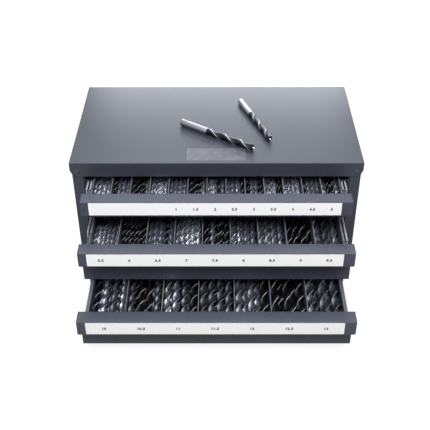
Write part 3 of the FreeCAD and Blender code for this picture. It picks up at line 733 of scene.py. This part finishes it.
def rolled_rail(node):
    """An intermediate rail with races rolled into its flanges, in place of the plain channel."""
    low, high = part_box(node)
    centre = (low + high) / 2
    outward = 1 if centre.x > 0 else -1
    lip = low.x if outward > 0 else high.x
    crest = (high.z - low.z) / 2
    upper = [(across * MM, crest - below * MM) for across, below in FLANGE]
    lower = [(across, -height) for across, height in reversed(upper)]
    inside = (FLANGE[-1][0] - RAIL_WEB) * MM
    profile = upper + lower + [(inside, lower[-1][1]), (inside, upper[0][1])]
    points = [Vector((lip + outward * across, y, centre.z + height))
              for y in (low.y, high.y) for across, height in profile]
    faces = prism_faces(len(profile))
    # The race grooves take the near-black colour, a painted shade
    races = (RACE_SEGMENT, len(upper) + len(lower) - 2 - RACE_SEGMENT)
    slots = [0, 0] + [1 if index in races else 0 for index in range(len(profile))]
    mesh = joined_mesh(node + "_rolled", [(Matrix.Identity(4), (points, faces, slots))])
    piece = stand_in(node, "rolled", mesh, ["zinc_rail", "race"])
    face_outwards(piece)
    smooth(piece, RAIL_SHARP_ANGLE)


FOOT_STEPS = 32
FOOT_SHARP_ANGLE = 40
# The hollow of the sole: its depth, and the radii of its floor and mouth as shares of the foot's
FOOT_HOLLOW = 0.4 * MM
FOOT_HOLLOW_FLOOR = 0.45
FOOT_HOLLOW_MOUTH = 0.5
# How much narrower the sole is than the top, the roundness of its rim, and the top's chamfer
FOOT_TAPER = 1.1 * MM
FOOT_RIM = 0.9 * MM
FOOT_RIM_ANGLES = (0, 30, 60, 90)
FOOT_CHAMFER = 0.3 * MM


def feet():
    """Moulded feet with rounded rims, in place of the plain ones."""
    parts = []
    for low, high in islands("rubber_feet"):
        radius = (high.x - low.x) / 2
        height = high.z - low.z
        profile = [(0, FOOT_HOLLOW), (radius * FOOT_HOLLOW_FLOOR, FOOT_HOLLOW),
                   (radius * FOOT_HOLLOW_MOUTH, 0)]
        profile += [(radius - FOOT_TAPER - FOOT_RIM * (1 - math.sin(math.radians(angle))),
                     FOOT_RIM * (1 - math.cos(math.radians(angle)))) for angle in FOOT_RIM_ANGLES]
        profile += [(radius, height - FOOT_CHAMFER), (radius - FOOT_CHAMFER, height), (0, height)]
        centre = (low + high) / 2
        place = Matrix.Translation((centre.x, centre.y, low.z))
        parts.append((place, lathe(profile, FOOT_STEPS)))
    mesh = joined_mesh("rubber_feet_moulded", parts)
    piece = stand_in("rubber_feet", "moulded", mesh, ["foot_rubber"])
    face_outwards(piece)
    smooth(piece, FOOT_SHARP_ANGLE)


# ---------------------------------------------------------------- labels and sticker
FACING_FRONT = 1
FACING_UP = 2
CORNER_STEPS = 4


def rounded_card(name, low, high, corner, facing, body, material, replaced=()):
    """A thin card with round corners that fills a box and faces the front or up."""
    up = 2 if facing == FACING_FRONT else 1
    outline = []
    for centre_x, centre_up, start in ((high.x - corner, high[up] - corner, 0),
                                       (low.x + corner, high[up] - corner, 90),
                                       (low.x + corner, low[up] + corner, 180),
                                       (high.x - corner, low[up] + corner, 270)):
        for step in range(CORNER_STEPS + 1):
            angle = math.radians(start + 90 * step / CORNER_STEPS)
            outline.append((centre_x + corner * math.cos(angle),
                            centre_up + corner * math.sin(angle)))
    points = [Vector((x, depth, upward) if facing == FACING_FRONT else (x, upward, depth))
              for depth in (low[facing], high[facing]) for x, upward in outline]
    faces = prism_faces(len(outline))
    mesh = joined_mesh(name, [(Matrix.Identity(4), (points, faces, [0] * len(faces)))])
    face_outwards(new_piece(name, mesh, body, [material], replaced))


LABEL_WORDS = {
    "top": [None] * 4 + ["1", "1.5", "2", "2.5", "3", "3.5", "4", "4.5", "5"],
    "middle": ["5.5", "6", "6.5", "7", "7.5", "8", "8.5", "9", "9.5"],
    "bottom": ["10", "10.5", "11", "11.5", "12", "12.5", "13"],
}
LABEL_CORNER = 0.6 * MM
DIGIT_HEIGHT = 4.0 * MM
# Height of a digit as a share of the font's size
DIGIT_SHARE = 0.7
DIGIT_WEIGHT = 0.32 * MM
DIGIT_SPACING = 1.15
DIGIT_STEPS = 3
INK_DEPTH = 0.05 * MM
INK_RELIEF = 0.04 * MM
# The blank sticker: its ends across, its near edge behind the lid's front, its depth and thickness
STICKER_LEFT = -43 * MM
STICKER_RIGHT = 42 * MM
STICKER_SETBACK = 7 * MM
STICKER_DEPTH = 32 * MM
STICKER_THICKNESS = 0.08 * MM
STICKER_CORNER = 1.5 * MM


def word_shape(word):
    """Points and faces of a size number, centred, lying on XY."""
    curve = bpy.data.curves.new("word", "FONT")
    curve.body = word
    curve.size = DIGIT_HEIGHT / DIGIT_SHARE
    curve.align_x = "CENTER"
    curve.extrude = INK_DEPTH
    curve.offset = DIGIT_WEIGHT
    curve.resolution_u = DIGIT_STEPS
    curve.space_character = DIGIT_SPACING
    item = bpy.data.objects.new("word", curve)
    bpy.context.scene.collection.objects.link(item)
    graph = bpy.context.evaluated_depsgraph_get()
    mesh = bpy.data.meshes.new_from_object(item.evaluated_get(graph), depsgraph=graph)
    points = [vertex.co.copy() for vertex in mesh.vertices]
    faces = [list(polygon.vertices) for polygon in mesh.polygons]
    bpy.data.objects.remove(item)
    bpy.data.curves.remove(curve)
    bpy.data.meshes.remove(mesh)
    return points, faces, [0] * len(faces)


def labels(level):
    """A drawer's label strip, and the size numbers on it in raised ink."""
    node = "label_strip_" + level
    body = level + "_drawer"
    low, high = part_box(node)
    rounded_card(node + "_card", low + Vector((0, INK_RELIEF, 0)), high, LABEL_CORNER,
                 FACING_FRONT, body, "label_card", [node])
    words = LABEL_WORDS[level]
    pitch = (high.x - low.x) / len(words)
    parts = []
    for index, word in enumerate(words):
        if word:
            spot = Vector((low.x + (index + 0.5) * pitch, low.y + INK_DEPTH,
                           (low.z + high.z - DIGIT_HEIGHT) / 2))
            place = Matrix.Translation(spot) @ Matrix.Rotation(math.radians(90), 4, "X")
            parts.append((place, word_shape(word)))
    mesh = joined_mesh("size_numbers_" + level, parts)
    new_piece("size_numbers_" + level, mesh, body, ["ink"])


def blank_sticker():
    """The plain pale sticker near the front of the lid."""
    low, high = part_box("lid_cover")
    near = low.y + STICKER_SETBACK
    corner_low = Vector((STICKER_LEFT, near, high.z))
    corner_high = Vector((STICKER_RIGHT, near + STICKER_DEPTH, high.z + STICKER_THICKNESS))
    rounded_card("lid_blank_sticker", corner_low, corner_high, STICKER_CORNER, FACING_UP, "case",
                 "film")


# ---------------------------------------------------------------- build
RANDOM_SEED = 7
# How far each bit on the lid is rolled about its own axis, in degrees
LARGE_ROLL = 40
SMALL_ROLL = 10

for side in SIDES:
    softened("side_panel_" + side, "case_paint")
    softened("slide_carrier_" + side, "case_paint")
softened("lid_cover", "case_paint", LID_FOLD)
softened("back_panel", "case_paint")
softened("floor_panel", "case_paint")
softened("cabinet_rails", "dark_rail", RAIL_FOLD)
randomness = random.Random(RANDOM_SEED)
for level in LEVELS:
    softened("tray_" + level, "tray_paint")
    softened("drawer_front_" + level, "front_paint", FRONT_FOLD)
    softened("dividers_" + level, "divider_sheet")
    softened("drawer_rails_" + level, "drawer_rail", RAIL_FOLD)
    rivet_set("drawer_rail_rivets_" + level, "rivet_metal", outward_pointing)
    labels(level)
    for side in SIDES:
        rolled_rail(f"intermediate_rail_{level}_{side}")
        balls = frame["nodes"][f"ball_rows_{level}_{side}"]
        balls.data.materials.clear()
        balls.data.materials.append(MATERIALS["bearing_steel"])
    for node in sorted(frame["nodes"]):
        if node.startswith("bits_" + level):
            stored_bits(node, level, randomness)
rivet_set("cabinet_rail_rivets", "rivet_metal", inward_pointing)
rivet_set("blind_rivets", "painted_rivet", case_pointing)
feet()
loose_bit("loose_bit_large", LARGE_ROLL)
loose_bit("loose_bit_small", SMALL_ROLL)
blank_sticker()


# ---------------------------------------------------------------- floor, light, camera
FLOOR_HALF = 4.0
FLOOR_COLOUR = (0.18, 0.18, 0.18, 1)
FLOOR_LIFT = 0.86
WORLD_LIGHT = 0.08
WHITE = (1, 1, 1, 1)
# Place, target, width and height, watts and colour of each softbox
SOFTBOXES = {
    "low_back_softbox": ((0.02, 0.85, 0.44), (0, 0.1, 0.2), (0.66, 0.25), 5.0, (0.87, 0.91, 1.0)),
    "high_back_softbox": ((0.0, 1.1, 1.5), (0, -0.1, 0.15), (1.4, 0.7), 14.2, (0.92, 0.97, 1.0)),
    "key_softbox": ((0.0, -0.9, 1.7), (0, -0.1, 0.15), (1.4, 1.0), 52, (1, 1, 1)),
    "front_softbox": ((-0.3, -2.6, 0.9), (0, -0.1, 0.1), (2.0, 1.2), 12, (1, 1, 1)),
}
# The viewpoint: focal length in pixels of the picture, angles in radians, and the place of the
# camera from the middle of the lid's front edge
PICTURE_WIDTH = 430
FOCAL_PIXELS = 797.555
SENSOR = 36.0
PITCH = 0.648666
YAW = 0.00525
ROLL = -0.003745
CAMERA_FROM_LID = Vector((0.002648, -0.945142, 0.624192))


def seen_directly(tree):
    """One for the rays that show the surroundings: from the camera, off gloss, through glass."""
    path = add(tree, "LightPath")
    either = add(tree, "Math", {"operation": "MAXIMUM"})
    tree.links.new(path.outputs["Is Camera Ray"], either.inputs[0])
    tree.links.new(path.outputs["Is Glossy Ray"], either.inputs[1])
    seen = add(tree, "Math", {"operation": "MAXIMUM"})
    tree.links.new(either.outputs[0], seen.inputs[0])
    tree.links.new(path.outputs["Is Transmission Ray"], seen.inputs[1])
    return seen.outputs[0]


def floor():
    """A pale floor that keeps shadows: seen directly it is lifted to white, else it is grey."""
    mesh = bpy.data.meshes.new("floor")
    corners = [(-FLOOR_HALF, -FLOOR_HALF, 0), (FLOOR_HALF, -FLOOR_HALF, 0),
               (FLOOR_HALF, FLOOR_HALF, 0), (-FLOOR_HALF, FLOOR_HALF, 0)]
    mesh.from_pydata(corners, [], [(0, 1, 2, 3)])
    plane = bpy.data.objects.new("floor", mesh)
    bpy.context.scene.collection.objects.link(plane)
    material, tree, shader = new_material("white_floor")
    tree.nodes.remove(shader)
    plain = add(tree, "BsdfDiffuse", Color=FLOOR_COLOUR)
    lift = add(tree, "Emission", Color=WHITE, Strength=FLOOR_LIFT)
    both = add(tree, "AddShader")
    choice = add(tree, "MixShader")
    tree.links.new(plain.outputs[0], both.inputs[0])
    tree.links.new(lift.outputs[0], both.inputs[1])
    tree.links.new(seen_directly(tree), choice.inputs[0])
    tree.links.new(plain.outputs[0], choice.inputs[1])
    tree.links.new(both.outputs[0], choice.inputs[2])
    tree.links.new(choice.outputs[0], tree.nodes["Material Output"].inputs["Surface"])
    mesh.materials.append(material)


def world():
    """Faint even light; seen directly, the surroundings are plain white."""
    sky = bpy.data.worlds.new("studio")
    bpy.context.scene.world = sky
    sky.use_nodes = True
    tree = sky.node_tree
    background = tree.nodes["Background"]
    background.inputs["Color"].default_value = WHITE
    background.inputs["Strength"].default_value = WORLD_LIGHT
    seen = add(tree, "Background", Color=WHITE, Strength=1.0)
    choice = add(tree, "MixShader")
    tree.links.new(seen_directly(tree), choice.inputs[0])
    tree.links.new(background.outputs[0], choice.inputs[1])
    tree.links.new(seen.outputs[0], choice.inputs[2])
    tree.links.new(choice.outputs[0], tree.nodes["World Output"].inputs["Surface"])


def softbox(name, place, target, size, power, colour):
    """A rectangular lamp that faces its target and isn't seen itself."""
    light = bpy.data.lights.new(name, "AREA")
    light.color = colour
    light.shape = "RECTANGLE"
    light.size, light.size_y = size
    light.energy = power
    item = bpy.data.objects.new(name, light)
    bpy.context.scene.collection.objects.link(item)
    item.location = place
    item.visible_camera = False
    item.rotation_euler = (Vector(target) - Vector(place)).to_track_quat("-Z", "Y").to_euler()


def camera():
    """The viewpoint: in front of the case and above it, a little off square."""
    low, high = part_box("lid_cover")
    data = bpy.data.cameras.new("view")
    data.sensor_width = SENSOR
    data.lens = FOCAL_PIXELS * SENSOR / PICTURE_WIDTH
    item = bpy.data.objects.new("view", data)
    bpy.context.scene.collection.objects.link(item)
    turn = Matrix.Rotation(YAW, 3, "Z")
    forward = turn @ Vector((0, math.cos(PITCH), -math.sin(PITCH)))
    up = turn @ Vector((0, math.sin(PITCH), math.cos(PITCH)))
    right = turn @ Vector((1, 0, 0))
    across = right * math.cos(ROLL) + up * math.sin(ROLL)
    above = up * math.cos(ROLL) - right * math.sin(ROLL)
    pose = Matrix((across, above, -forward)).transposed().to_4x4()
    pose.translation = Vector((0, low.y, high.z)) + CAMERA_FROM_LID
    item.matrix_world = pose
    bpy.context.scene.camera = item


floor()
world()
for name, settings in SOFTBOXES.items():
    softbox(name, *settings)
camera()
bpy.context.scene.view_settings.view_transform = "Standard"
